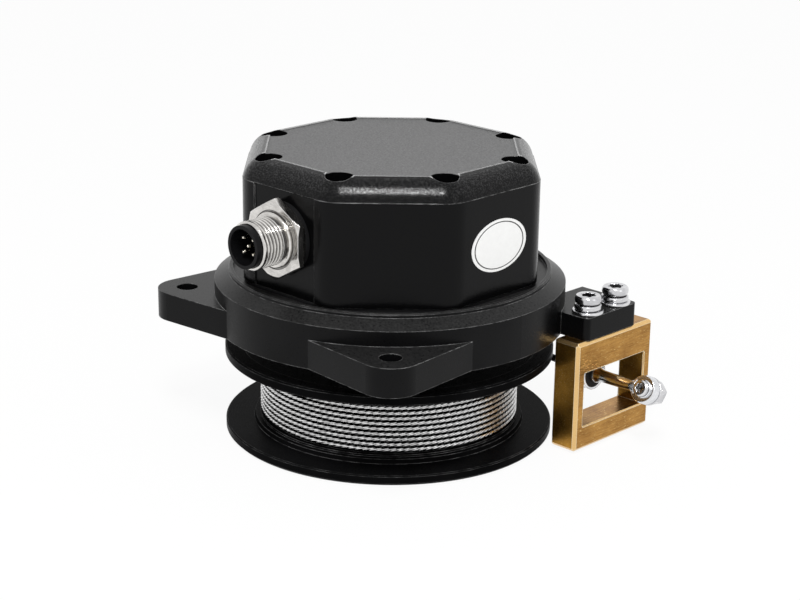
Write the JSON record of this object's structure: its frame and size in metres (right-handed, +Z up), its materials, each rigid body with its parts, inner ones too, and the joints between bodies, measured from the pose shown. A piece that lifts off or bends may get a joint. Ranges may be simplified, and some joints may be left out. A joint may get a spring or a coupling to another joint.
{
  "type": "draw wire encoder",
  "caption": "Octagonal black sensor housing on a round flange with mounting ears, above an open spool of steel rope that leaves through a brass guide frame.",
  "frame": {"origin": "on the spool's axis, in the plane of the mounting ears' lower faces", "axes": "+Z up along the spool's axis towards the cover's roof, +X along the rope as it is pulled out, +Y away from the connector"},
  "size_m": [0.1068, 0.0974, 0.0745],
  "materials": {
    "black_cast": "satin black cast metal",
    "black_cover": "satin black moulding",
    "black_rubber": "dull black rubber",
    "white_label": "white film with a thin dark border",
    "nickel": "bright nickel plate",
    "black_insert": "black plastic",
    "gold_contacts": "gold plate",
    "zinc_screws": "bright zinc plate",
    "polished_steel": "bright polished steel",
    "bearing_steel": "ground steel",
    "cage_brass": "pressed brass",
    "spring_steel": "blued strip steel",
    "black_spool": "satin black anodised metal",
    "rope_steel": "bright stranded steel",
    "holder_metal": "turned aluminium",
    "magnet": "nickel plated magnet",
    "board_green": "solder mask",
    "header_plastic": "pale plastic",
    "guide_brass": "brushed brass with bright chamfers"
  },
  "bodies": {
    "housing": {"base_flange": "black_cast", "cover": "black_cover", "cover_gasket": "black_rubber", "cover_screws": "zinc_screws", "oval_label": "white_label", "connector_shell": "nickel", "connector_insert": "black_insert", "connector_contacts": "gold_contacts", "connector_seal": "black_rubber", "connector_nut": "nickel", "bearing_outer_rings": "bearing_steel", "bearing_balls": "bearing_steel", "bearing_cages": "cage_brass", "shaft_seal": "black_rubber", "spring_arbor": "black_spool", "arbor_screws": "zinc_screws", "power_spring": "spring_steel", "circuit_board": "board_green", "sensor_chip": "black_insert", "board_header": "header_plastic", "board_standoffs": "cage_brass", "board_screws": "zinc_screws", "wire_guide": "guide_brass", "guide_flat_washers": "polished_steel", "guide_spring_washers": "polished_steel", "guide_screws": "polished_steel", "rope_lead": "rope_steel"},
    "drum": {"bearing_inner_rings": "bearing_steel", "main_shaft": "bearing_steel", "shaft_circlip": "zinc_screws", "spool": "black_spool", "spool_top_flange": "black_spool", "spool_screws": "zinc_screws", "hub_washer": "zinc_screws", "hub_screw": "zinc_screws", "rope_windings": "rope_steel", "magnet_holder": "holder_metal", "encoder_magnet": "magnet"},
    "wire_end": {"rubber_bumper": "black_rubber", "bumper_cup": "polished_steel", "end_fitting": "polished_steel", "eye_screw": "polished_steel", "eye_washers": "polished_steel", "eye_nut": "polished_steel", "rope_sleeve": "black_rubber"}
  },
  "joints": [
    {"name": "drum_spin", "type": "hinge", "parent": "housing", "child": "drum", "pos_m": [0, 0, -0.015], "axis": [0, 0, -1], "range_deg": [0, 3490], "stiffness_Nm_per_rad": 0.0015, "springref_deg": -5729.58},
    {"name": "wire_draw", "type": "slide", "parent": "housing", "child": "wire_end", "axis": [1, 0, 0], "range_m": [0, 2]}
  ],
  "couplings": [
    {"joint": "wire_draw", "follows": "drum_spin", "m_per_rad": 0.0328}
  ]
}
